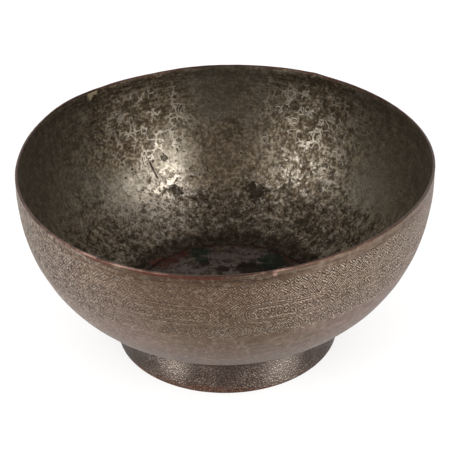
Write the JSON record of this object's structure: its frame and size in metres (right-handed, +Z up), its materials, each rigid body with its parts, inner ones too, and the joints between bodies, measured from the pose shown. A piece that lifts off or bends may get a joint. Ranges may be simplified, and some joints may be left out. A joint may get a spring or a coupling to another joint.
{
  "type": "footed bowl",
  "caption": "Deep round footed bowl of tinned sheet copper: full curved wall, thickened rim, raised disc in the floor, and a low flared foot ring soldered on.",
  "frame": {"origin": "on the table, under the middle of the foot ring", "axes": "+Z up through the middle of the bowl; the foot's lapped seam is at the back, towards +Y"},
  "size_m": [0.2355, 0.245, 0.1198],
  "materials": {
    "tinned_copper": "worn tin over copper, dull warm grey, engraved outside",
    "worn_tinned_copper": "dark worn tin over copper, punched all over",
    "brass_spelter": "dull, filed",
    "soft_solder": "dull grey, wiped"
  },
  "bodies": {
    "root": {"bowl_body": "tinned_copper", "foot_ring": "worn_tinned_copper", "foot_seam_spelter": "brass_spelter", "outer_solder_bead": "soft_solder", "inner_solder_bead": "soft_solder"}
  },
  "joints": []
}
